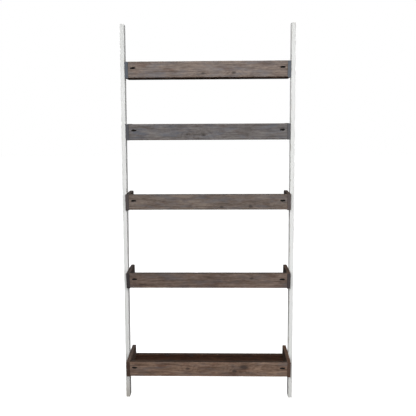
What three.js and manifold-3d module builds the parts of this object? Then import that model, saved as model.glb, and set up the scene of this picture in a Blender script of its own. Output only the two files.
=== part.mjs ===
// Leaning ladder shelf: two straight painted rails and five open wooden trays between them.
//
// Millimetres, +Z up, +X to the right, +Y towards the wall. The origin is on the floor, in the
// middle of the plan outline. Each tray has a front board between two side panels, a low strip
// along its back and a floor, and every tray ends the same distance behind the rails.
import * as THREE from "three";
import * as BufferGeometryUtils from "three/addons/utils/BufferGeometryUtils.js";
import Module from "manifold-3d";

// --- whole shelf -------------------------------------------------------------------------
const overallWidth = 838; // across the outer faces of the rails
const leanAngle = THREE.MathUtils.degToRad(6); // of the rails, from upright

// --- rails -------------------------------------------------------------------------------
const railWidth = 20; // across X
const railDepth = 40; // square to the rail's length
const railAboveTrays = 175; // top edge of the highest tray to the top of the rails

// --- trays, from the top one down --------------------------------------------------------
const trays = [
  { name: "tray_1", rise: 294, depth: 110 },
  { name: "tray_2", rise: 333, depth: 110 },
  { name: "tray_3", rise: 378, depth: 145 },
  { name: "tray_4", rise: 422, depth: 156 },
  { name: "tray_5", rise: 228, depth: 192 },
]; // rise: top edge above the next tray's top edge, or above the floor for the lowest tray
const trayBackBehindRail = 105; // rail's front face to the tray's back, at mid-height of the tray

const sideThickness = 17;
const sideHeight = 78;
const sideCornerRadius = 13; // rounded corner at the top of the back edge
const frontThickness = 17;
const frontHeight = 75; // the front board's top edge is level with the side panels
const backStripThickness = 17;
const backStripHeight = 27; // its lower edge is level with the side panels
const floorThickness = 12;

// --- clearances --------------------------------------------------------------------------
const jointGap = 0.3; // between touching wooden pieces
const screwGap = 0.3; // all round a screw in its hole

// --- angled screw that ties each end of a front board to its side panel ------------------
const pocketAngle = THREE.MathUtils.degToRad(21); // of the hole to the board's face
const pocketRadius = 4.75;
const pocketFromEnd = 23.5; // board's end to the middle of the hole's mouth
const pocketFromTop = 30.5; // board's top edge to the hole's axis
const pocketSeatFromEnd = 8; // board's end to the seat of the screw head, along the board
const pocketScrew = { headRadius: 3.9, headHeight: 2.4, shankRadius: 1.9, point: 3 };
const pocketScrewCover = 4; // wood left in the side panel past the screw's point

// --- countersunk screws that hold a tray to its rails, two on each side ------------------
const railScrew = { headRadius: 4, headHeight: 3, shankRadius: 2, point: 3 };
const railScrewSpacing = 36; // between the upper and the lower one
const railScrewCover = 5.5; // wood left in the rail past the screw's point
const railScrewHeadSink = 0.3; // head below the panel's inner face

// --- materials ---------------------------------------------------------------------------
const paint = new THREE.MeshStandardMaterial({ color: 0xe0e0dd, roughness: 0.55, metalness: 0 });
const stainedWood = new THREE.MeshStandardMaterial({ color: 0x685b54, roughness: 0.75, metalness: 0 });
const darkWood = new THREE.MeshStandardMaterial({ color: 0x3a2b22, roughness: 0.8, metalness: 0 });
const blackSteel = new THREE.MeshStandardMaterial({ color: 0x24221f, roughness: 0.5, metalness: 0.8 });

// --- derived sizes -----------------------------------------------------------------------
const sides = [
  { name: "left", sign: -1 },
  { name: "right", sign: 1 },
];
const railDepthLevel = railDepth / Math.cos(leanAngle); // rail's depth along Y
const sideOuterX = overallWidth / 2 - railWidth - jointGap;
const sideInnerX = sideOuterX - sideThickness;
const innerEndX = sideInnerX - jointGap; // ends of the front board, strip and floor

/** Y of the rails' front face at a height. */
const railFrontY = (z) => z * Math.tan(leanAngle);

let topEdge = 0;
for (const tray of trays.toReversed()) {
  topEdge += tray.rise;
  tray.bottom = topEdge - sideHeight;
  tray.back = railFrontY(tray.bottom + sideHeight / 2) + trayBackBehindRail;
  tray.front = tray.back - tray.depth;
}
const overallHeight = topEdge + railAboveTrays;
const planFront = Math.min(0, ...trays.map((tray) => tray.front));
const planBack = Math.max(railFrontY(overallHeight) + railDepthLevel, ...trays.map((tray) => tray.back));

// --- solids ------------------------------------------------------------------------------
const wasm = await Module();
wasm.setup();

/** Closed solid from a closed three.js geometry. */
function solid(geometry) {
  const bare = geometry.clone();
  bare.deleteAttribute("normal");
  bare.deleteAttribute("uv");
  const merged = BufferGeometryUtils.mergeVertices(bare, 1e-4);
  const mesh = new wasm.Mesh({
    numProp: 3,
    vertProperties: new Float32Array(merged.attributes.position.array),
    triVerts: new Uint32Array(merged.index.array),
  });
  return new wasm.Manifold(mesh);
}

/** Flat-shaded three.js geometry of a solid. */
function geometryOf(body) {
  const mesh = body.getMesh();
  const geometry = new THREE.BufferGeometry();
  geometry.setAttribute("position", new THREE.BufferAttribute(mesh.vertProperties, 3));
  geometry.setIndex(new THREE.BufferAttribute(mesh.triVerts, 1));
  geometry.computeVertexNormals();
  return geometry;
}

/** Box from its low and high corners. */
function boxBetween(low, high) {
  const size = new THREE.Vector3().subVectors(high, low);
  const box = new THREE.BoxGeometry(size.x, size.y, size.z);
  return box.translate((low.x + high.x) / 2, (low.y + high.y) / 2, (low.z + high.z) / 2);
}

/** Outline in Y and Z pulled along X from x0 to x1. */
function pulledAlongX(outline, x0, x1, curveSegments = 6) {
  const settings = { depth: x1 - x0, bevelEnabled: false, curveSegments };
  const pulled = new THREE.ExtrudeGeometry(outline, settings);
  const axes = new THREE.Matrix4().makeBasis(
    new THREE.Vector3(0, 1, 0),
    new THREE.Vector3(0, 0, 1),
    new THREE.Vector3(1, 0, 0),
  );
  return pulled.applyMatrix4(axes).translate(x0, 0, 0);
}

/** Turn that takes +Y to a direction. */
const turnTo = (direction) =>
  new THREE.Quaternion().setFromUnitVectors(new THREE.Vector3(0, 1, 0), direction);

/** A geometry made along +Y, moved so that it starts at a point and runs in a direction. */
function alongFrom(geometry, point, direction) {
  return geometry.clone().applyQuaternion(turnTo(direction)).translate(point.x, point.y, point.z);
}

/** Solid of revolution about Y from (radius, y) pairs that start and end on the axis. */
const turned = (profile, segments) =>
  new THREE.LatheGeometry(profile.map(([r, y]) => new THREE.Vector2(r, y)), segments);

const screwSegments = 12;

/** Pan-head screw along +Y: y = 0 is under the head, with a recess in the top of the head. */
function panHeadScrew({ headRadius, headHeight, shankRadius, point }, length) {
  const recess = headRadius * 0.4;
  return turned(
    [
      [0, -headHeight * 0.35],
      [recess, -headHeight],
      [headRadius * 0.75, -headHeight],
      [headRadius, -headHeight * 0.6],
      [headRadius, 0],
      [shankRadius, 0],
      [shankRadius, length - point],
      [0, length],
    ],
    screwSegments,
  );
}

/** Countersunk screw along +Y: y = 0 is the top of the head. */
function countersunkScrew({ headRadius, headHeight, shankRadius, point }, length) {
  const recess = headRadius * 0.4;
  return turned(
    [
      [0, headHeight * 0.6],
      [recess, 0],
      [headRadius, 0],
      [shankRadius, headHeight],
      [shankRadius, length - point],
      [0, length],
    ],
    screwSegments,
  );
}

/** Hole for the countersunk screw, open at the head's end. */
function countersunkHole({ headRadius, headHeight, shankRadius }, length) {
  return turned(
    [
      [0, -railScrewHeadSink - 1],
      [headRadius + screwGap, -railScrewHeadSink - 1],
      [headRadius + screwGap, screwGap],
      [shankRadius + screwGap, headHeight + screwGap],
      [shankRadius + screwGap, length + screwGap],
      [0, length + screwGap],
    ],
    screwSegments,
  );
}

// --- the angled screw and its pocket, in the tray's own frame ----------------------------
const pocketHeight = sideHeight - pocketFromTop;
const pocketReach = (pocketFromEnd - pocketSeatFromEnd) / Math.cos(pocketAngle); // mouth to seat
const pocketScrewLength =
  (pocketSeatFromEnd + jointGap + sideThickness - pocketScrewCover) / Math.cos(pocketAngle);

/** Mouth, direction and cutters of the pocket at one end of the front board. */
function pocketAt(sign) {
  const mouth = new THREE.Vector3(sign * (innerEndX - pocketFromEnd), 0, pocketHeight);
  const direction = new THREE.Vector3(sign * Math.cos(pocketAngle), Math.sin(pocketAngle), 0);
  const seat = mouth.clone().addScaledVector(direction, pocketReach);
  const before = 3 * pocketRadius; // starts this far outside the mouth
  const length = before + pocketReach;
  const drill = new THREE.CylinderGeometry(pocketRadius, pocketRadius, length, 24);
  const pocket = alongFrom(
    drill.translate(0, length / 2, 0),
    mouth.clone().addScaledVector(direction, -before),
    direction,
  );
  const pilotRadius = pocketScrew.shankRadius + screwGap;
  const pilotLength = 1 + pocketScrewLength + screwGap;
  const pilot = alongFrom(
    new THREE.CylinderGeometry(pilotRadius, pilotRadius, pilotLength, screwSegments)
      .translate(0, pilotLength / 2 - 1, 0),
    seat,
    direction,
  );
  return { direction, seat, pocket: solid(pocket), pilot: solid(pilot) };
}

// --- the screws into the rails -----------------------------------------------------------
const railScrewLength =
  sideThickness - railScrewHeadSink + jointGap + railWidth - railScrewCover;

/** Head positions of the two screws on one side of a tray, in the tray's own frame. */
function railScrewsAt(tray, sign) {
  const middle = sideHeight / 2;
  return [
    { name: "upper", z: middle + railScrewSpacing / 2 },
    { name: "lower", z: middle - railScrewSpacing / 2 },
  ].map(({ name, z }) => {
    const railMiddle = railFrontY(tray.bottom + z) + railDepthLevel / 2 - tray.front;
    const clearOfBoard = frontThickness + railScrew.headRadius + 2;
    const y = Math.max(railMiddle, clearOfBoard);
    return { name, head: new THREE.Vector3(sign * (sideInnerX + railScrewHeadSink), y, z) };
  });
}
const outward = (sign) => new THREE.Vector3(sign, 0, 0);

// --- the model ---------------------------------------------------------------------------
const shelf = new THREE.Group();
shelf.name = "ladder_shelf";
shelf.position.y = -(planFront + planBack) / 2;

function addMesh(parent, name, geometry, material) {
  const mesh = new THREE.Mesh(geometry, material);
  mesh.name = name;
  parent.add(mesh);
  return mesh;
}

// rails, with the blind holes for the screws of all the trays
for (const { name, sign } of sides) {
  const topY = railFrontY(overallHeight);
  const outline = new THREE.Shape([
    new THREE.Vector2(0, 0),
    new THREE.Vector2(railDepthLevel, 0),
    new THREE.Vector2(topY + railDepthLevel, overallHeight),
    new THREE.Vector2(topY, overallHeight),
  ]);
  const outer = (sign * overallWidth) / 2;
  const inner = outer - sign * railWidth;
  let rail = solid(pulledAlongX(outline, Math.min(outer, inner), Math.max(outer, inner)));
  for (const tray of trays) {
    for (const { head } of railScrewsAt(tray, sign)) {
      const at = head.clone().add(new THREE.Vector3(0, tray.front, tray.bottom));
      const hole = alongFrom(countersunkHole(railScrew, railScrewLength), at, outward(sign));
      rail = rail.subtract(solid(hole));
    }
  }
  addMesh(shelf, `${name}_rail`, geometryOf(rail), paint);
}

// trays: in each tray's own frame y = 0 is its front face and z = 0 its underside
for (const tray of trays) {
  const group = new THREE.Group();
  group.position.set(0, tray.front, tray.bottom);
  shelf.add(group);

  const cornerRadius = Math.min(sideCornerRadius, sideHeight - backStripHeight);
  const sideOutline = new THREE.Shape();
  sideOutline.moveTo(0, 0);
  sideOutline.lineTo(tray.depth, 0);
  sideOutline.lineTo(tray.depth, sideHeight - cornerRadius);
  sideOutline.absarc(tray.depth - cornerRadius, sideHeight - cornerRadius, cornerRadius, 0, Math.PI / 2);
  sideOutline.lineTo(0, sideHeight);

  let board = solid(boxBetween(
    new THREE.Vector3(-innerEndX, 0, sideHeight - frontHeight),
    new THREE.Vector3(innerEndX, frontThickness, sideHeight),
  ));

  for (const { name, sign } of sides) {
    const { direction, seat, pocket, pilot } = pocketAt(sign);
    board = board.subtract(pocket).subtract(pilot);

    const low = Math.min(sign * sideInnerX, sign * sideOuterX);
    let panel = solid(pulledAlongX(sideOutline, low, low + sideThickness)).subtract(pilot);
    for (const { name: level, head } of railScrewsAt(tray, sign)) {
      const hole = alongFrom(countersunkHole(railScrew, railScrewLength), head, outward(sign));
      panel = panel.subtract(solid(hole));
      const screw = addMesh(
        group,
        `${tray.name}_${name}_${level}_screw`,
        countersunkScrew(railScrew, railScrewLength),
        blackSteel,
      );
      screw.position.copy(head);
      screw.quaternion.copy(turnTo(outward(sign)));
    }
    addMesh(group, `${tray.name}_${name}_side`, geometryOf(panel), stainedWood);

    const screw = addMesh(
      group,
      `${tray.name}_${name}_pocket_screw`,
      panHeadScrew(pocketScrew, pocketScrewLength),
      blackSteel,
    );
    screw.position.copy(seat).addScaledVector(direction, -screwGap);
    screw.quaternion.copy(turnTo(direction));
  }
  addMesh(group, `${tray.name}_front_board`, geometryOf(board), stainedWood);

  const stripFront = tray.depth - backStripThickness;
  addMesh(
    group,
    `${tray.name}_back_strip`,
    boxBetween(
      new THREE.Vector3(-innerEndX, stripFront, 0),
      new THREE.Vector3(innerEndX, tray.depth, backStripHeight),
    ),
    darkWood,
  );
  addMesh(
    group,
    `${tray.name}_floor`,
    boxBetween(
      new THREE.Vector3(-innerEndX, frontThickness + jointGap, 0),
      new THREE.Vector3(innerEndX, stripFront - jointGap, floorThickness),
    ),
    darkWood,
  );
}

export default shelf;
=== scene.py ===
"""Looks of the leaning ladder shelf: weathered stained boards, painted rails and dark screws.

Every board is lofted from a rounded section along its grain, with worn, slightly uneven edges,
and takes its place and size from the CAD node it stands for. Lengths are in metres.
"""
import math

import bmesh
import bpy
import numpy as np
from mathutils import Matrix, Vector, noise


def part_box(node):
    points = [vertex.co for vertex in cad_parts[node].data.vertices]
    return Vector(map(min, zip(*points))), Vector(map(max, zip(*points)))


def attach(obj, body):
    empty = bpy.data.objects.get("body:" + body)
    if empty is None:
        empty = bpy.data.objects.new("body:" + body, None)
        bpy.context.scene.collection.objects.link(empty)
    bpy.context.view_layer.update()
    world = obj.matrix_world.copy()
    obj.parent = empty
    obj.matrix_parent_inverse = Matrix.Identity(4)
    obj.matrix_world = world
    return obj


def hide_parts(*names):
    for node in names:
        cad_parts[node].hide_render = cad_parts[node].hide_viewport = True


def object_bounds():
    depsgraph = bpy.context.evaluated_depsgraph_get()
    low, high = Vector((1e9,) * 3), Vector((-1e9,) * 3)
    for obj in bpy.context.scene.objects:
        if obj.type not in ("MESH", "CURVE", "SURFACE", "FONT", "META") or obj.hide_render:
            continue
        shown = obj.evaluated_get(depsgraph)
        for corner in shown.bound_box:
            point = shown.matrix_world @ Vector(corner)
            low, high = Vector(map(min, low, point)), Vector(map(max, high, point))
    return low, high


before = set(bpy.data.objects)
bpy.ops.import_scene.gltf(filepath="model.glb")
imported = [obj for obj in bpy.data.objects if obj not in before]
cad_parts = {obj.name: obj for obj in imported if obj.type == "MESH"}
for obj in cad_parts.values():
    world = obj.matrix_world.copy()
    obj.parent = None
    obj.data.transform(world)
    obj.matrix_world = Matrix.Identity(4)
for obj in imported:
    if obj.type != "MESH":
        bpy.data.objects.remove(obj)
cad_low, cad_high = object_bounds()

MM = 0.001
TRAYS = range(1, 6)
SIDES = {"left": -1, "right": 1}

# --- sizes that the boxes of the CAD nodes don't give ---------------------------------------
LEAN = math.radians(6)  # of the rails, from upright
PANEL_CORNER = 13 * MM  # rounded corner at the top of a side panel's back edge
POCKET_ANGLE = math.radians(21)  # of the angled hole to the front board's face
POCKET_RADIUS = 4.75 * MM
POCKET_FROM_END = 23.5 * MM  # board's end to the middle of the hole's mouth
SEAT_FROM_END = 8 * MM  # board's end to the seat of the angled screw, along the board
SCREW_GAP = 0.3 * MM
# radii of the head and the shank, and lengths of the head and the point
PAN_HEAD = {"head": 3.9 * MM, "height": 2.4 * MM, "shank": 1.9 * MM, "point": 3 * MM}
FLAT_HEAD = {"head": 4 * MM, "height": 3 * MM, "shank": 2 * MM, "point": 3 * MM}
PAN_TOP = 0.75  # share of a pan head's radius that is left near its top
THREAD_PITCH = 1.8 * MM
THREAD_DEPTH = 0.24  # share of the shank's radius
CREST_SLOPE = 3.2  # how steeply the thread falls away from its crest
RINGS_PER_TURN = 5
RUN_OUT = 4  # rings over which the thread starts
RECESS_ARM = 0.28  # half width of the cross's arms, as a share of its size
RECESS_TURN = math.radians(12)
RING_SPACING = 4.8 * MM  # of the year rings
SCREW_SIDES = 24
COUNTERSINK_SIDES = 32
POCKET_SIDES = 48
SHARP_ANGLE = math.radians(32)  # edges sharper than this aren't shaded smooth


# --- materials ------------------------------------------------------------------------------
def srgb(r, g, b):
    """Linear colour from 8-bit sRGB values."""
    linear = []
    for c in (r, g, b):
        c /= 255
        linear.append(c / 12.92 if c <= 0.04045 else ((c + 0.055) / 1.055) ** 2.4)
    return (*linear, 1)


def set_stops(color_ramp, stops):
    """Gives a colour ramp its stops of (position, value or colour)."""
    elements = color_ramp.elements
    while len(elements) < len(stops):
        elements.new(0.5)
    for element, (position, colour) in zip(elements, stops):
        element.position = position
        grey = isinstance(colour, (int, float))
        element.color = (colour, colour, colour, 1) if grey else colour


class Graph:
    """A material whose nodes are made from the inside out: each call returns an output."""

    def __init__(self, name):
        self.material = bpy.data.materials.new(name)
        self.material.use_nodes = True
        self.tree = self.material.node_tree
        self.shader = self.tree.nodes["Principled BSDF"]

    def put(self, value, socket):
        """Sets an input to a value, or links an output to it."""
        if isinstance(value, bpy.types.NodeSocket):
            self.tree.links.new(value, socket)
        else:
            socket.default_value = value

    def node(self, kind, inputs=(), output=0, **settings):
        """A new node with its inputs and settings; gives one of its outputs."""
        made = self.tree.nodes.new(kind)
        for key, value in settings.items():
            setattr(made, key, value)
        for key, value in dict(inputs).items():
            self.put(value, made.inputs[key])
        return made.outputs[output]

    def math(self, operation, *values):
        return self.node("ShaderNodeMath", enumerate(values), operation=operation)

    def vector(self, operation, *values):
        return self.node("ShaderNodeVectorMath", enumerate(values), operation=operation)

    def split(self, value):
        """The three parts of a vector."""
        made = self.tree.nodes.new("ShaderNodeSeparateXYZ")
        self.put(value, made.inputs[0])
        return made.outputs

    def noise(self, place, scale, detail=3.0, roughness=0.5):
        """Noise from 0 to 1; scale is a number, or one for each axis of the place."""
        if not isinstance(scale, (int, float)):
            place, scale = self.vector("MULTIPLY", place, scale), 1.0
        inputs = {"Vector": place, "Scale": scale, "Detail": detail, "Roughness": roughness}
        return self.node("ShaderNodeTexNoise", inputs)

    def ramp(self, value, *stops):
        """Values or colours between stops of (position, value or colour)."""
        made = self.tree.nodes.new("ShaderNodeValToRGB")
        set_stops(made.color_ramp, stops)
        self.put(value, made.inputs[0])
        return made.outputs[0]

    def mix(self, factor, a, b, blend="MIX"):
        made = self.tree.nodes.new("ShaderNodeMix")
        made.data_type, made.blend_type = "RGBA", blend
        self.put(factor, made.inputs[0])
        self.put(a, made.inputs[6])
        self.put(b, made.inputs[7])
        return made.outputs[2]

    def bump(self, height, strength, distance):
        inputs = {"Strength": strength, "Distance": distance, "Height": height}
        return self.node("ShaderNodeBump", inputs)

    def wear(self):
        """1 on the edges of a piece and 0 on its faces, from its mesh."""
        return self.node("ShaderNodeAttribute", output="Fac", attribute_name="wear")

    def finish(self, colour, roughness, normal, specular=0.5, metallic=0.0):
        self.put(colour, self.shader.inputs["Base Color"])
        self.put(roughness, self.shader.inputs["Roughness"])
        self.put(normal, self.shader.inputs["Normal"])
        self.shader.inputs["Specular IOR Level"].default_value = specular
        self.shader.inputs["Metallic"].default_value = metallic
        return self.material

    def grain_place(self, axes, seed):
        """Place as (along the grain, across it, through the board), the same shifted at random
        for the noises, and the random numbers that follow."""
        place = self.split(self.node("ShaderNodeTexCoord", output="Object"))
        turned = [place["xyz".index(axis)] for axis in axes]
        turned = self.node("ShaderNodeCombineXYZ", enumerate(turned))
        rng = np.random.default_rng(seed)
        shift = [float(v) for v in rng.uniform(-3, 3, 3)]
        return turned, self.vector("ADD", turned, shift), rng


def wood(name, axes, seed, tone, centre, knots):
    """Stained, weathered plank. axes: the grain's, the width's and the thickness's axis.
    tone: darkest, middle, lightest, grey and end grain's colour, and the sawn edges' tint.
    centre: the plank's middle across its width and through its thickness.
    knots: place along and across the plank, and size, of each."""
    g = Graph(name)
    real, place, rng = g.grain_place(axes, seed)
    dark, middle, light, grey, ends, edge_tint = tone

    # branches that the plank was sawn across: knots, which the year rings pass round
    along, across, through = g.split(real)
    pull, core = 0.0, 0.0
    for knot_along, knot_across, size in knots:
        da = g.math("DIVIDE", g.math("SUBTRACT", along, knot_along), 1.7 * size)
        dc = g.math("DIVIDE", g.math("SUBTRACT", across, knot_across), size)
        away = g.math("SQRT", g.math("ADD", g.math("MULTIPLY", da, da), g.math("MULTIPLY", dc, dc)))
        away = g.math("ADD", away, g.math("MULTIPLY", g.noise(place, 90.0, 2.0), 0.5))
        pull = g.math("ADD", pull, g.ramp(g.math("DIVIDE", away, 5.0), (0.05, 1.0), (0.95, 0.0)))
        core = g.math("ADD", core, g.ramp(g.math("DIVIDE", away, 2.0), (0.38, 1.0), (0.72, 0.0)))

    # year rings round a pith behind the board
    pith = rng.uniform(-0.02, 0.02), rng.uniform(0.035, 0.06)
    tilt = rng.uniform(-0.03, 0.03)
    bow = g.math("MULTIPLY", g.math("SUBTRACT", g.noise(place, (4.0, 2.0, 2.0), 1.0), 0.5), 0.025)
    du = g.math("ADD", g.math("SUBTRACT", across, centre[0] + float(pith[0])), bow)
    du = g.math("ADD", du, g.math("MULTIPLY", along, float(tilt)))
    dv = g.math("SUBTRACT", through, centre[1] + float(pith[1]))
    squares = g.math("ADD", g.math("MULTIPLY", du, du), g.math("MULTIPLY", dv, dv))
    radius = g.math("SQRT", squares)
    wave = g.math("MULTIPLY", g.noise(place, (12.0, 45.0, 45.0), 3.0), 0.004)
    radius = g.math("ADD", g.math("ADD", radius, wave), g.math("MULTIPLY", pull, 0.012))
    ring = g.math("FRACT", g.math("DIVIDE", radius, RING_SPACING))
    ring = g.ramp(ring, (0.0, 0.0), (0.55, 0.3), (0.88, 1.0), (1.0, 0.05))

    fibre = g.noise(place, (26.0, 620.0, 620.0), 5.0, 0.7)
    streak = g.noise(place, (10.0, 90.0, 90.0), 5.0, 0.65)
    cloud = g.noise(place, (6.0, 16.0, 16.0), 4.0, 0.65)
    mottle = g.noise(place, (70.0, 110.0, 110.0), 3.0, 0.6)
    pores = g.ramp(g.noise(place, (45.0, 1500.0, 1500.0), 2.0), (0.0, 1.0), (0.36, 0.0))

    value = g.math("ADD", g.math("MULTIPLY", streak, 0.60), g.math("MULTIPLY", cloud, 0.28))
    value = g.math("ADD", value, g.math("MULTIPLY", fibre, 0.6))
    value = g.math("ADD", value, g.math("MULTIPLY", mottle, 0.22))
    value = g.math("SUBTRACT", value, g.math("MULTIPLY", ring, 0.08))
    value = g.math("SUBTRACT", value, g.math("MULTIPLY", pull, 0.05))
    colour = g.ramp(value, (0.66, dark), (0.80, middle), (0.95, light))
    patch = g.ramp(g.noise(place, (9.0, 32.0, 32.0), 5.0, 0.7), (0.47, 0.0), (0.68, 0.7))
    colour = g.mix(patch, colour, grey)
    red = g.ramp(g.noise(place, (13.0, 42.0, 40.0), 3.0, 0.6), (0.54, 0.0), (0.70, 0.55))
    colour = g.mix(red, colour, srgb(176, 134, 116), "MULTIPLY")
    pale = g.ramp(g.noise(place, (24.0, 95.0, 95.0), 3.0, 0.7), (0.62, 0.0), (0.74, 0.5))
    colour = g.mix(pale, colour, light)
    line = g.ramp(g.noise(place, (9.0, 230.0, 230.0), 3.0, 0.6), (0.36, 1.0), (0.47, 0.0))
    colour = g.mix(g.math("MULTIPLY", line, 0.6), colour, dark)
    colour = g.mix(g.math("MULTIPLY", pores, 0.45), colour, dark)
    colour = g.mix(g.math("MULTIPLY", core, 0.75), colour, srgb(50, 42, 40))

    # end grain takes up more stain and worn edges lose it; the faces along a plank's long edges take
    # a tint of their own, which on the side panels is painted light on their top and bottom faces
    facing = g.split(g.node("ShaderNodeNewGeometry", output="Normal"))
    end, edge = (g.math("ABSOLUTE", facing["xyz".index(axis)]) for axis in axes[:2])
    end = g.ramp(end, (0.6, 0.0), (0.85, 1.0))
    edge = g.ramp(edge, (0.6, 0.0), (0.9, 1.0))
    colour = g.mix(edge, colour, edge_tint, "MULTIPLY")
    end_tone = g.mix(g.math("MULTIPLY", ring, 0.4), ends, dark)
    speck = g.noise(place, 420.0, 3.0, 0.7)
    end_tone = g.mix(g.ramp(speck, (0.4, 0.35), (0.65, 0.0)), end_tone, srgb(30, 25, 22))
    colour = g.mix(end, colour, end_tone)

    rub = g.noise(place, (30.0, 120.0, 120.0), 4.0, 0.65)
    rub = g.math("MULTIPLY", g.ramp(rub, (0.42, 0.0), (0.62, 1.0)), g.wear())
    rub = g.math("MULTIPLY", rub, g.math("SUBTRACT", 1.0, end))
    colour = g.mix(g.math("MULTIPLY", rub, 0.28), colour, srgb(150, 130, 113))

    roughness = g.math("ADD", 0.5, g.math("MULTIPLY", streak, 0.24))
    roughness = g.math("ADD", roughness, g.math("MULTIPLY", rub, 0.12))
    saw = g.noise(place, (260.0, 5.0, 5.0), 2.0)
    height = g.math("ADD", g.math("MULTIPLY", fibre, 0.5), g.math("MULTIPLY", saw, 0.12))
    height = g.math("SUBTRACT", height, g.math("MULTIPLY", ring, 0.25))
    height = g.math("SUBTRACT", height, g.math("MULTIPLY", pores, 0.4))
    height = g.math("SUBTRACT", height, g.math("MULTIPLY", core, 0.3))
    normal = g.bump(height, 0.55, 0.5 * MM)
    return g.finish(colour, roughness, normal, specular=0.36)


def painted(name, axes, seed, foot_shade):
    """Brushed off-white paint over wood, rubbed thin along the edges; last argument: painted shade on
    its foot, 0 to 1.
    """
    g = Graph(name)
    real, place, _ = g.grain_place(axes, seed)
    brush = g.noise(place, (5.0, 520.0, 520.0), 4.0, 0.6)
    cloud = g.noise(place, (2.2, 14.0, 14.0), 3.0, 0.55)
    colour = g.ramp(cloud, (0.3, srgb(223, 224, 222)), (0.7, srgb(235, 236, 235)))
    drag = g.ramp(brush, (0.3, 0.3), (0.6, 0.0))
    colour = g.mix(drag, colour, srgb(221, 221, 217))
    scuff = g.ramp(g.noise(place, (34.0, 90.0, 90.0), 4.0, 0.7), (0.63, 0.0), (0.72, 0.5))
    colour = g.mix(scuff, colour, srgb(212, 210, 203))

    rub = g.noise(place, (22.0, 150.0, 150.0), 4.0, 0.7)
    rub = g.math("MULTIPLY", g.ramp(rub, (0.54, 0.0), (0.62, 1.0)), g.wear())
    colour = g.mix(g.math("MULTIPLY", rub, 0.5), colour, srgb(172, 163, 148))

    # painted shade on the rail's foot, below the lowest tray
    foot = g.math("ADD", g.split(real)[0], g.math("MULTIPLY", cloud, 0.05))
    foot = g.math("MULTIPLY", g.ramp(foot, (0.02, 1.0), (0.16, 0.0)), foot_shade)
    colour = g.mix(foot, colour, srgb(170, 163, 152))

    roughness = g.math("ADD", 0.42, g.math("MULTIPLY", brush, 0.2))
    height = g.math("ADD", g.math("MULTIPLY", brush, 0.5), g.math("MULTIPLY", cloud, 0.6))
    height = g.math("SUBTRACT", height, g.math("MULTIPLY", rub, 0.35))
    normal = g.bump(height, 0.35, 0.35 * MM)
    return g.finish(colour, roughness, normal, specular=0.4)


def steel(name, seed):
    """Black phosphated steel, rubbed bright in spots on the screw's head."""
    g = Graph(name)
    _, place, _ = g.grain_place("xyz", seed)
    mottle = g.noise(place, 900.0, 4.0, 0.6)
    colour = g.ramp(mottle, (0.35, srgb(26, 25, 24)), (0.7, srgb(58, 55, 51)))
    rub = g.ramp(g.noise(place, 1500.0, 3.0), (0.45, 0.0), (0.6, 1.0))
    rub = g.math("MULTIPLY", rub, g.wear())
    colour = g.mix(g.math("MULTIPLY", rub, 0.6), colour, srgb(122, 118, 112))
    roughness = g.math("ADD", 0.34, g.math("MULTIPLY", mottle, 0.3))
    normal = g.bump(mottle, 0.3, 0.1 * MM)
    return g.finish(colour, roughness, normal, metallic=0.85)


def bore(name, seed):
    """Inside of a bored hole: rough fibre, painted near-black as the shade deep in the hole."""
    g = Graph(name)
    _, place, _ = g.grain_place("xyz", seed)
    fibre = g.noise(place, (300.0, 300.0, 900.0), 3.0, 0.6)
    colour = g.ramp(fibre, (0.35, srgb(9, 7, 6)), (0.7, srgb(27, 21, 18)))
    roughness = g.math("ADD", 0.7, g.math("MULTIPLY", fibre, 0.2))
    return g.finish(colour, roughness, g.bump(fibre, 0.4, 0.3 * MM), specular=0.3)


# --- boards ---------------------------------------------------------------------------------
ARC = [math.radians(a) for a in (0, 30, 60, 90)]
EDGE_BAND = 3 * MM  # how far the wear of an edge reaches into a face
SECTION_STEP = 14 * MM  # between the points on the flat sides of a section


def rounded_section(width, height, radius, step):
    """Ring round a rectangle centred on 0: points, outward normals, and 1 on its corners."""
    points, normals, edges = [], [], []
    corners = [(1, 1, 0), (-1, 1, 90), (-1, -1, 180), (1, -1, 270)]
    for i, (su, sv, turn) in enumerate(corners):
        centre = Vector((su * (width / 2 - radius), sv * (height / 2 - radius)))
        for arc in ARC:
            a = arc + math.radians(turn)
            normal = Vector((math.cos(a), math.sin(a)))
            points.append(centre + radius * normal)
            normals.append(normal)
            edges.append(1.0)
        tu, tv, _ = corners[(i + 1) % 4]
        following = Vector((tu * (width / 2 - radius), tv * (height / 2 - radius)))
        start, side = points[-1], following - centre
        direction, inner = side.normalized(), side.length - 2 * EDGE_BAND
        count = max(1, math.ceil(inner / step))
        for k in range(count + 1):
            points.append(start + direction * (EDGE_BAND + inner * k / count))
            normals.append(normal)
            edges.append(0.0)
    return np.array(points), np.array(normals), np.array(edges)


def stations(length, radius, step):
    """Places along a board: (distance from its start, inset of the section, 1 at its ends)."""
    start = [(radius - radius * math.cos(a), radius - radius * math.sin(a), 1.0) for a in ARC]
    inner = length - 2 * (radius + EDGE_BAND)
    count = max(1, math.ceil(inner / step))
    middle = [(radius + EDGE_BAND + inner * k / count, 0.0, 0.0) for k in range(count + 1)]
    return start + middle + [(length - at, inset, end) for at, inset, end in reversed(start)]


def wobble(at, u, v, seed, scale):
    """Smooth noise from -1 to 1; scale: how fast it changes along the board, and across it."""
    return noise.noise(Vector((at * scale[0] + seed, u * scale[1] - seed, v * scale[1])))


def worn_depth(at, u, v, seed, wear):
    """How far a point lies inside the plain board: a little all over, and rubs and dents where
    there is wear, from 0 to 1."""
    millimetres = 0.12 + 0.1 * wobble(at, u, v, seed, (6, 30))
    if wear:
        rub = wobble(at, u, v, seed + 7, (38, 25))
        dent = max(0.0, rub - 0.42)
        millimetres += wear * (0.16 + 0.22 * rub + 2.4 * dent)
    return max(0.0, millimetres) * MM


class Outline:
    """Real outline of a board, as a change of the plain box that it is lofted in."""

    def box(self, low, high):
        """The plain box, from the node's box."""
        return low, high

    def places(self, places, length, end_radius):
        """The stations that the sections are put at."""
        return places

    def moved(self, p, low, high):
        """A point of the plain box moved to the outline."""
        return p


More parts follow.
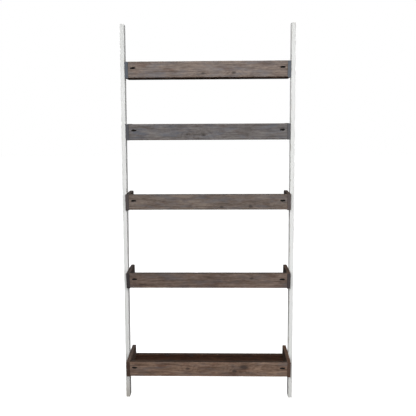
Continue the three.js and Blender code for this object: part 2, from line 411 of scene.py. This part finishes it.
def board(
    name, node, axes, seed, material, slot,
    radius=1.3 * MM, step=6 * MM, wear=1.0, outline=Outline(),
):
    """Board that stands for a CAD node: a rounded section lofted along its grain, with an edge
    radius, a step between its sections and how far its edges are worn."""
    low, high = outline.box(*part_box(node))
    i, j, k = ("xyz".index(a) for a in axes)
    length, width, height = (high[a] - low[a] for a in (i, j, k))
    points, normals, corner = rounded_section(width, height, radius, SECTION_STEP)
    end_radius = 0.75 * radius
    places = outline.places(stations(length, end_radius, step), length, end_radius)
    verts, worn = [], []
    for at, inset, end in places:
        for (u, v), n, c in zip(points, normals, corner):
            edge = max(c, end)
            move = inset + worn_depth(at, u, v, seed, wear * edge)
            p = [0.0, 0.0, 0.0]
            p[i] = low[i] + at
            p[j] = (low[j] + high[j]) / 2 + u - n[0] * move
            p[k] = (low[k] + high[k]) / 2 + v - n[1] * move
            verts.append(outline.moved(p, low, high))
            worn.append(edge)
    size = len(points)
    rings = [list(range(r * size, (r + 1) * size)) for r in range(len(places))]
    faces = joined_rings(rings, size) + [tuple(rings[0]), tuple(reversed(rings[-1]))]
    return piece(name, node, verts, faces, worn, material)


def joined_rings(rings, size):
    """Faces between rings of vertex numbers; a ring of one number is a point."""
    faces = []
    for a, b in zip(rings, rings[1:]):
        for s in range(size):
            t = (s + 1) % size
            quad = [a[s % len(a)], b[s % len(b)], b[t % len(b)], a[t % len(a)]]
            face = list(dict.fromkeys(quad))
            if len(face) > 2:
                faces.append(face)
    return faces


def piece(name, node, verts, faces, worn, material, at=None, direction=None):
    """Piece that stands for a CAD node; one made along Z is first put in its place."""
    mesh = bpy.data.meshes.new(name)
    mesh.from_pydata(verts, [], faces)
    attribute = mesh.attributes.new("wear", "FLOAT", "POINT")
    attribute.data.foreach_set("value", np.array(worn, np.float32))
    mesh.materials.append(material)
    if direction is None:
        outward(mesh)
    else:
        put_in_place(mesh, at, direction)
    obj = new_object(name, mesh)
    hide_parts(node)
    return obj


def outward(mesh):
    """Turns all faces outwards."""
    bm = bmesh.new()
    bm.from_mesh(mesh)
    bmesh.ops.recalc_face_normals(bm, faces=bm.faces)
    bm.to_mesh(mesh)
    bm.free()


def new_object(name, data):
    """Object in the scene, with a mesh, light or camera."""
    obj = bpy.data.objects.new(name, data)
    bpy.context.scene.collection.objects.link(obj)
    return obj


def smooth(obj):
    """Smooth shading, with sharp edges kept."""
    obj.data.polygons.foreach_set("use_smooth", [True] * len(obj.data.polygons))
    obj.data.set_sharp_from_angle(angle=SHARP_ANGLE)
    weighted = obj.modifiers.new("even_shading", "WEIGHTED_NORMAL")
    weighted.keep_sharp = True
    weighted.weight = 80


def circle(verts, radius, z, segments):
    """Adds a circle round Z, or its middle if it has no size; gives the numbers of its points."""
    start = len(verts)
    if radius == 0:
        verts.append((0, 0, z))
        return [start]
    for s in range(segments):
        a = 2 * math.pi * s / segments
        verts.append((radius * math.cos(a), radius * math.sin(a), z))
    return list(range(start, start + segments))


def put_in_place(mesh, at, direction):
    """Moves a mesh made along Z so that it starts at a point and runs in a direction."""
    turn = Vector((0, 0, 1)).rotation_difference(Vector(direction)).to_matrix().to_4x4()
    mesh.transform(Matrix.Translation(at) @ turn)
    outward(mesh)


def turned_cutter(profile, segments, at, direction):
    """Closed mesh of a profile of (radius, height), turned about a direction from a point."""
    verts = []
    rings = [circle(verts, radius, z, segments) for radius, z in profile]
    mesh = bpy.data.meshes.new("cutter")
    mesh.from_pydata(verts, [], joined_rings(rings, segments))
    put_in_place(mesh, at, direction)
    return mesh


def cut(obj, cutters, material):
    """Cuts closed meshes out of a piece; the cut faces take the given material."""
    joined = bmesh.new()
    for mesh in cutters:
        joined.from_mesh(mesh)
        bpy.data.meshes.remove(mesh)
    tool_mesh = bpy.data.meshes.new("cutter")
    joined.to_mesh(tool_mesh)
    joined.free()
    tool_mesh.materials.append(material)
    tool = new_object("cutter", tool_mesh)
    boolean = obj.modifiers.new("bores", "BOOLEAN")
    boolean.object, boolean.operation, boolean.solver = tool, "DIFFERENCE", "EXACT"
    boolean.material_mode = "TRANSFER"
    bpy.context.view_layer.update()
    evaluated = obj.evaluated_get(bpy.context.evaluated_depsgraph_get())
    result = bpy.data.meshes.new_from_object(evaluated)
    if len(result.polygons) < len(obj.data.polygons) // 2:
        raise RuntimeError(f"cutting {obj.name} left {len(result.polygons)} faces")
    obj.modifiers.clear()
    old, obj.data = obj.data, result
    bpy.data.meshes.remove(old)
    bpy.data.objects.remove(tool)
    bpy.data.meshes.remove(tool_mesh)


# --- the pieces' materials ------------------------------------------------------------------
bore_material = bore("bore_inside", 77)
steel_material = steel("black_steel_screws", 5)


def toned(tone, factors, ends, edge_tint):
    """A tone with its channels multiplied by factors, the end grain's colour and the edges' tint."""
    scaled = [tuple(c * f for c, f in zip(colour, (*factors, 1))) for colour in tone]
    return (*scaled, ends, edge_tint)


FRONT_TONE = srgb(80, 66, 57), srgb(113, 97, 86), srgb(141, 124, 111), srgb(99, 97, 100)
# darker than the front boards: painted shade of the side panels' inner faces
PANEL_TONE = srgb(50, 38, 31), srgb(70, 57, 48), srgb(92, 78, 68), srgb(62, 58, 57)
# wood of the trays' floors and back strips, drawn much darker than the front boards: painted shade
# inside the trays and under them, deepest on the back strips
INNER_TONE = srgb(48, 31, 21), srgb(74, 49, 35), srgb(102, 74, 56), srgb(68, 55, 47)
FLOOR_TONE = toned(INNER_TONE, (0.92, 0.83, 0.74), srgb(60, 48, 42), srgb(230, 226, 222))
STRIP_TONE = toned(INNER_TONE, (0.54, 0.39, 0.27), srgb(52, 40, 33), (1, 1, 1, 1))
FRONT_EDGES = srgb(124, 114, 105)  # tint of the front boards' sawn edges
# tint of the side panels' top and bottom faces: painted light that lifts them over the panels'
# painted shade, much stronger on the right, where that shade is deepest
PANEL_EDGE_LIGHT = {"left": (1.05, 1.05, 1.05, 1), "right": (3.6, 3.6, 3.6, 1)}
# how each tray's front board and side panels are drawn differently from the common stain, and the
# colour of
# their end grain: partly tone that differs from board to board, partly a painted sheen, greyer, bluer
# and lighter, on trays 1 and 2 and their end grain
TRAY_FACTORS = {
    1: (1.10, 1.15, 1.21),
    2: (0.72, 0.87, 1.06),
    3: (0.84, 0.88, 0.92),
    4: (0.81, 0.77, 0.77),
    5: (1.17, 1.03, 0.93),
}
TRAY_ENDS = {
    1: srgb(99, 109, 122),
    2: srgb(91, 94, 102),
    3: srgb(88, 82, 84),
    4: srgb(62, 58, 62),
    5: srgb(84, 65, 56),
}
# how much lighter the left panels and darker the right ones are drawn: painted light on the left
# panels, whose inner faces turn towards the light from the right, and painted shade on the right
# panels, whose inner faces turn away from it; and how their end grain differs
SIDE_LIGHT_AND_SHADE = {"left": (1.25, 1.34, 1.45), "right": (0.5, 0.44, 0.38)}
END_FACTORS = {"left": (0.98, 0.93, 0.9), "right": (1.28, 1.18, 1.08)}
# knots of the front boards: from the board's middle, above its lower edge, and size
FRONT_KNOTS = {
    1: [(-0.022, 0.018, 0.006), (0.125, 0.021, 0.007)],
    2: [(-0.020, 0.022, 0.007), (-0.100, 0.024, 0.005)],
    3: [(0.066, 0.014, 0.006), (0.205, 0.017, 0.007)],
    4: [(0.210, 0.050, 0.007)],
    5: [(0.172, 0.050, 0.013), (0.128, 0.028, 0.008), (-0.100, 0.040, 0.007)],
}


# --- rails ----------------------------------------------------------------------------------
class Leaning(Outline):
    """Outline of a rail: its box is sheared towards the wall."""

    def __init__(self, depth):
        self.depth = depth

    def box(self, low, high):
        return low, Vector((high.x, low.y + self.depth, high.z))

    def moved(self, p, low, high):
        return p[0], p[1] + (p[2] - low.z) * math.tan(LEAN), p[2]


FOOT_SHADE = {"left": 0.8, "right": 0.15}  # painted shade on each rail's foot, below the lowest tray: from 0, none, to 1


def rail_piece(side):
    """A rail, before its screw holes are cut."""
    node, sign = f"{side}_rail", SIDES[side]
    low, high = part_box(node)
    depth = (high.y - low.y) - (high.z - low.z) * math.tan(LEAN)
    paint = painted(f"paint_{side}", "zyx", 20 + sign, FOOT_SHADE[side])
    return board(
        f"{node}-fine", node, "zyx", 11 + sign, paint, "white_paint",
        radius=1.6 * MM, step=12 * MM, wear=0.5, outline=Leaning(depth),
    )


# --- trays ----------------------------------------------------------------------------------
CORNER_WEAR = 0.4  # of a side panel's rounded corner, where an end has 1


class RoundedBack(Outline):
    """Outline of a side panel: its top edge turns down in an arc at the back."""

    def height(self, y, high):
        """Height of the top edge at a place along the panel."""
        past = y - (high.y - PANEL_CORNER)
        if past <= 0:
            return high.z
        return high.z - PANEL_CORNER + math.sqrt(max(0.0, PANEL_CORNER**2 - past**2))

    def places(self, places, length, end_radius):
        # the even ones up to the corner, then ones round its arc, then the end's own
        kept = [p for p in places if p[0] < length - PANEL_CORNER - 1 * MM]
        for degrees in range(0, 75, 8):
            at = length - PANEL_CORNER + PANEL_CORNER * math.sin(math.radians(degrees))
            if at < length - 1.5 * end_radius:
                kept.append((at, 0.0, CORNER_WEAR))
        return kept + places[-len(ARC):]

    def moved(self, p, low, high):
        scale = (self.height(p[1], high) - low.z) / (high.z - low.z)
        return p[0], p[1], low.z + (p[2] - low.z) * scale


# --- planks and screws ----------------------------------------------------------------------
KNOT_SEED = 5000  # added to a plank's seed for the places of its knots
KNOT_SIZE = 7 * MM


def middle_of(node, axes):
    """Middle of a node across the grain and through its thickness."""
    low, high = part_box(node)
    return [(low["xyz".index(a)] + high["xyz".index(a)]) / 2 for a in axes[1:]]


def knots_of(node, axes, seed, chosen=None):
    """Knots of a plank, placed in the shared frame: the chosen ones, or a few at random."""
    low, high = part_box(node)
    i, j = ("xyz".index(a) for a in axes[:2])
    if chosen is not None:
        return [((low[i] + high[i]) / 2 + a, low[j] + c, size) for a, c, size in chosen]
    rng = np.random.default_rng(seed + KNOT_SEED)
    count = int(rng.integers(0, 2 + round(3 * (high[i] - low[i]))))
    shares = rng.uniform(0.08, 0.92, (count, 2))
    return [
        (low[i] + float(a) * (high[i] - low[i]), low[j] + float(c) * (high[j] - low[j]), KNOT_SIZE)
        for a, c in shares
    ]


def plank(node, axes, seed, tone, slot, knots=None, **more):
    """Board with a wood material of its own; more: as board takes it."""
    knots = knots_of(node, axes, seed, knots)
    material = wood(f"wood_{node}", axes, seed, tone, middle_of(node, axes), knots)
    return board(f"{node}-fine", node, axes, seed, material, slot, **more)


def flat_head_frame(node, sign):
    """Middle of the head's face, and length, of one of the screws into a rail."""
    low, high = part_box(node)
    middle = (low + high) / 2
    return Vector((low.x if sign > 0 else high.x, middle.y, middle.z)), high.x - low.x


def flat_head_cutter(node, sign):
    """Countersunk hole round one of the screws into a rail."""
    at, length = flat_head_frame(node, sign)
    head, height, shank = (FLAT_HEAD[k] for k in ("head", "height", "shank"))
    before = 2 * MM
    profile = [
        (0, -before),
        (head + SCREW_GAP, -before),
        (head + SCREW_GAP, SCREW_GAP),
        (shank + SCREW_GAP, height + SCREW_GAP),
        (shank + SCREW_GAP, length + SCREW_GAP),
        (0, length + SCREW_GAP),
    ]
    return turned_cutter(profile, COUNTERSINK_SIDES, at, (sign, 0, 0))


def pocket_frame(tray, side):
    """Middle of the mouth, direction and depth of the angled hole."""
    sign = SIDES[side]
    low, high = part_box(f"{tray}_front_board")
    screw_low, screw_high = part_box(f"{tray}_{side}_pocket_screw")
    end = high.x if sign > 0 else low.x
    mouth = Vector((end - sign * POCKET_FROM_END, low.y, (screw_low.z + screw_high.z) / 2))
    direction = Vector((sign * math.cos(POCKET_ANGLE), math.sin(POCKET_ANGLE), 0))
    reach = (POCKET_FROM_END - SEAT_FROM_END) / math.cos(POCKET_ANGLE)
    return mouth, direction, reach


def pocket_cutter(tray, side):
    """Angled hole with a flat seat, and the narrow one for the screw beyond it."""
    mouth, direction, reach = pocket_frame(tray, side)
    before = 3 * POCKET_RADIUS
    pilot = PAN_HEAD["shank"] + SCREW_GAP
    length = pocket_screw_length(tray, side) + SCREW_GAP
    profile = [
        (0, -before),
        (POCKET_RADIUS, -before),
        (POCKET_RADIUS, reach),
        (pilot, reach),
        (pilot, reach + length),
        (0, reach + length),
    ]
    return turned_cutter(profile, POCKET_SIDES, mouth, direction)


def pocket_screw_length(tray, side):
    """From under the head of an angled screw to its point."""
    low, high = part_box(f"{tray}_{side}_pocket_screw")
    along, across = math.cos(POCKET_ANGLE), math.sin(POCKET_ANGLE)
    head_part = PAN_HEAD["height"] * along + PAN_TOP * PAN_HEAD["head"] * across
    return (high.x - low.x - head_part) / along


def thread_ring(verts, radius, z, share):
    """Adds a ring of points round the thread; share: how much of its full depth it has."""
    start = len(verts)
    for s in range(SCREW_SIDES):
        turn = s / SCREW_SIDES
        phase = (z / THREAD_PITCH - turn) % 1
        crest = 1 - min(1.0, abs(phase - 0.5) * CREST_SLOPE)
        r = radius * (1 - THREAD_DEPTH * share * (1 - crest))
        verts.append((r * math.cos(2 * math.pi * turn), r * math.sin(2 * math.pi * turn), z))
    return list(range(start, start + SCREW_SIDES))


def screw(node, head_profile, kind, length, recess, at, direction):
    """Screw with a threaded shank and a cross recess in its head; z = 0 at the shank's start.
    recess: the cross's half width and depth."""
    shank, point = kind["shank"], kind["point"]
    verts = []
    rings = [circle(verts, radius, z, SCREW_SIDES) for radius, z in head_profile]
    top, start = head_profile[0][1], head_profile[-1][1]
    rows = int((length - point - start) / (THREAD_PITCH / RINGS_PER_TURN))
    for row in range(1, rows + 1):
        z = start + (length - point - start) * row / rows
        rings.append(thread_ring(verts, shank, z, min(1.0, row / RUN_OUT)))
    for share in (0.25, 0.5, 0.75):
        rings.append(thread_ring(verts, shank * (1 - share), length - point + point * share, 1.0))
    rings.append(circle(verts, 0, length, SCREW_SIDES))
    faces = joined_rings(rings, SCREW_SIDES)
    worn = [float(n < len(head_profile) * SCREW_SIDES) for n in range(len(verts))]
    made = piece(f"{node}-fine", node, verts, faces, worn, steel_material, at, direction)
    cut(made, [recess_cutter(*recess, top, at, direction)], steel_material)
    smooth(made)
    return made


def recess_cutter(size, depth, top, at, direction):
    """Tapered cross that sinks into a screw's head."""
    verts = []
    for z, share in ((top - 1 * MM, 1.25), (top + depth, 0.45)):
        w, t = size * share, size * RECESS_ARM * (0.5 + 0.5 * share)
        arm = [(w, -t), (w, t), (t, t)]
        for quarter in range(4):
            c, s = (1, 0, -1, 0)[quarter], (0, 1, 0, -1)[quarter]
            verts += [(x * c - y * s, x * s + y * c, z) for x, y in arm]
    n = len(verts) // 2
    faces = [tuple(range(n)), tuple(range(n, 2 * n))]
    faces += [(i, (i + 1) % n, n + (i + 1) % n, n + i) for i in range(n)]
    mesh = bpy.data.meshes.new("cutter")
    mesh.from_pydata(verts, [], faces)
    mesh.transform(Matrix.Rotation(RECESS_TURN, 4, "Z"))
    put_in_place(mesh, at, direction)
    return mesh


def rail_screw(node, sign):
    """Countersunk screw from inside a tray into a rail."""
    at, length = flat_head_frame(node, sign)
    head, height, shank = (FLAT_HEAD[k] for k in ("head", "height", "shank"))
    profile = [(0, 0), (0.9 * head, 0), (head, 0.2 * MM), (head, 0.45 * MM), (shank, height)]
    return screw(node, profile, FLAT_HEAD, length, (0.42 * head, 0.55 * height), at, (sign, 0, 0))


def pocket_screw(tray, side):
    """Pan-head screw at the bottom of an angled hole."""
    mouth, direction, reach = pocket_frame(tray, side)
    head, height, shank = (PAN_HEAD[k] for k in ("head", "height", "shank"))
    profile = [
        (0, -height),
        (0.55 * head, -height),
        (PAN_TOP * head, -0.94 * height),
        (0.92 * head, -0.72 * height),
        (head, -0.4 * height),
        (head, 0),
        (shank, 0),
    ]
    length = pocket_screw_length(tray, side)
    recess = (0.45 * head, 0.55 * height)
    seat = mouth + direction * (reach - SCREW_GAP)
    return screw(f"{tray}_{side}_pocket_screw", profile, PAN_HEAD, length, recess, seat, direction)


# --- the whole shelf ------------------------------------------------------------------------
def rail_screw_nodes(n, side):
    """The CAD nodes of the screws that hold a tray to a rail."""
    return [f"tray_{n}_{side}_{level}_screw" for level in ("upper", "lower")]


def side_pieces(n, side):
    """A tray's side panel and the screws in it: two into the rail, one from the front board."""
    tray, sign = f"tray_{n}", SIDES[side]
    factors = [a * b for a, b in zip(TRAY_FACTORS[n], SIDE_LIGHT_AND_SHADE[side])]
    ends = (*(a * b for a, b in zip(TRAY_ENDS[n], END_FACTORS[side])), 1)
    tone = toned(PANEL_TONE, factors, ends, PANEL_EDGE_LIGHT[side])
    panel = plank(
        f"{tray}_{side}_side", "yzx", 400 + 10 * n + sign, tone, "stained_wood",
        step=4 * MM, outline=RoundedBack(),
    )
    screws, panel_cuts = [], []
    for node in rail_screw_nodes(n, side):
        panel_cuts.append(flat_head_cutter(node, sign))
        screws.append(rail_screw(node, sign))
    screws.append(pocket_screw(tray, side))
    panel_cuts.append(pocket_cutter(tray, side))
    cut(panel, panel_cuts, bore_material)
    smooth(panel)
    return [*screws, panel]


def tray_pieces(n):
    """All pieces of a tray; the seeds give each board a grain of its own."""
    tray = f"tray_{n}"
    tone = toned(FRONT_TONE, TRAY_FACTORS[n], TRAY_ENDS[n], FRONT_EDGES)
    front = plank(f"{tray}_front_board", "xzy", 100 + n, tone, "stained_wood", knots=FRONT_KNOTS[n])
    strip = plank(
        f"{tray}_back_strip", "xzy", 200 + n, STRIP_TONE, "dark_wood", radius=0.8 * MM, wear=0.4
    )
    floor = plank(f"{tray}_floor", "xyz", 300 + n, FLOOR_TONE, "dark_wood", step=12 * MM, wear=0.3)
    sides = [made for side in SIDES for made in side_pieces(n, side)]
    cut(front, [pocket_cutter(tray, side) for side in SIDES], bore_material)
    for made in (front, strip, floor):
        smooth(made)
    return [front, strip, floor, *sides]


rails = {side: rail_piece(side) for side in SIDES}
pieces = [*rails.values()]
for n in TRAYS:
    pieces += tray_pieces(n)
for side, rail in rails.items():
    nodes = [node for n in TRAYS for node in rail_screw_nodes(n, side)]
    cut(rail, [flat_head_cutter(node, SIDES[side]) for node in nodes], bore_material)
    smooth(rail)
for made in pieces:
    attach(made, "root")

# --- studio ---------------------------------------------------------------------------------
FLOOR_HALF = 15  # half the floor's side
FLOOR_DROP = 0.2 * MM  # below the shelf's feet
FLOOR_GLOW = 0.93
# brightness of the sky that lights the shelf, from straight down (0) to straight up (1)
SKY = [(0.495, 0.02), (0.51, 0.34), (0.55, 0.56), (0.72, 0.3), (0.86, 0.1), (1.0, 0.07)]


def add_floor():
    """Nearly white floor that glows, so that it reads as white, but gives the shelf no light."""
    mesh = bpy.data.meshes.new("studio_floor")
    corners = [(FLOOR_HALF * x, FLOOR_HALF * y, 0) for x, y in ((-1, -1), (1, -1), (1, 1), (-1, 1))]
    mesh.from_pydata(corners, [], [(0, 1, 2, 3)])
    floor = new_object("studio_floor", mesh)
    floor.location.z = cad_low.z - FLOOR_DROP
    g = Graph("studio_floor")
    spot = g.noise(g.node("ShaderNodeTexCoord", output="Object"), 1.5)
    pale = g.ramp(spot, (0.3, 0.6), (0.7, 0.63))
    g.shader.inputs["Emission Color"].default_value = (1, 1, 1, 1)
    g.shader.inputs["Emission Strength"].default_value = FLOOR_GLOW
    mesh.materials.append(g.finish(pale, 0.9, g.bump(pale, 0.0, 1.0), specular=0.0))
    floor.visible_diffuse = False
    floor.visible_glossy = False


def add_sky():
    """White to the camera; to the shelf, a soft light that comes mostly from above the horizon."""
    world = bpy.data.worlds.new("studio")
    bpy.context.scene.world = world
    world.use_nodes = True
    nodes, links = world.node_tree.nodes, world.node_tree.links
    nodes.clear()
    split = nodes.new("ShaderNodeSeparateXYZ")
    links.new(nodes.new("ShaderNodeTexCoord").outputs["Generated"], split.inputs[0])
    rise = nodes.new("ShaderNodeMapRange")
    rise.inputs["From Min"].default_value = -1
    links.new(split.outputs[2], rise.inputs["Value"])
    fill = nodes.new("ShaderNodeValToRGB")
    set_stops(fill.color_ramp, SKY)
    links.new(rise.outputs[0], fill.inputs[0])
    soft = nodes.new("ShaderNodeBackground")
    links.new(fill.outputs[0], soft.inputs["Color"])
    white = nodes.new("ShaderNodeBackground")
    white.inputs["Color"].default_value = (1, 1, 1, 1)
    choose = nodes.new("ShaderNodeMixShader")
    links.new(nodes.new("ShaderNodeLightPath").outputs["Is Camera Ray"], choose.inputs[0])
    links.new(soft.outputs[0], choose.inputs[1])
    links.new(white.outputs[0], choose.inputs[2])
    links.new(choose.outputs[0], nodes.new("ShaderNodeOutputWorld").inputs["Surface"])


def softbox(name, at, target, size, power):
    """Rectangular light that shines from a point towards another and isn't seen itself."""
    light = bpy.data.lights.new(name, "AREA")
    light.shape, light.size, light.size_y = "RECTANGLE", *size
    light.energy = power
    obj = new_object(name, light)
    obj.location = at
    obj.rotation_euler = (Vector(target) - Vector(at)).to_track_quat("-Z", "Y").to_euler()
    obj.visible_camera = False
    return obj


add_floor()
add_sky()
softbox("key", (0.05, -2.8, 1.95), (0, 0, 1.2), (1.8, 1.0), 69)
softbox("low_fill", (0.95, -1.3, 0.25), (0.4, -0.15, 0.05), (0.4, 0.4), 3.2)
softbox("left_fill", (-3.0, -0.1, 1.3), (0, 0, 0.95), (0.8, 1.4), 22)
softbox("right_fill", (3.0, -0.1, 1.3), (0, 0, 0.95), (0.8, 1.4), 22)
softbox("back_fill", (-0.9, 2.9, 1.6), (0, 0, 0.9), (1.8, 1.4), 34).visible_glossy = False

# --- camera, fitted to the photo ------------------------------------------------------------
CAMERA_AT = Vector((0.0466, -2.3305, 1.3947))
YAW, PITCH, ROLL = (math.radians(a) for a in (-1.163, 10.697, -0.33))  # right, down, anticlockwise
LENS, SENSOR = 41.88, 36

forward = Vector((math.sin(YAW) * math.cos(PITCH), math.cos(YAW) * math.cos(PITCH), -math.sin(PITCH)))
level = Vector((math.cos(YAW), -math.sin(YAW), 0))
upright = level.cross(forward)
right = level * math.cos(ROLL) + upright * math.sin(ROLL)
up = upright * math.cos(ROLL) - level * math.sin(ROLL)
camera_data = bpy.data.cameras.new("camera")
camera_data.lens, camera_data.sensor_width = LENS, SENSOR
camera = new_object("camera", camera_data)
turn = Matrix((right, up, -forward)).transposed().to_4x4()
camera.matrix_world = Matrix.Translation(CAMERA_AT) @ turn
bpy.context.scene.camera = camera
bpy.context.scene.view_settings.view_transform = "Standard"
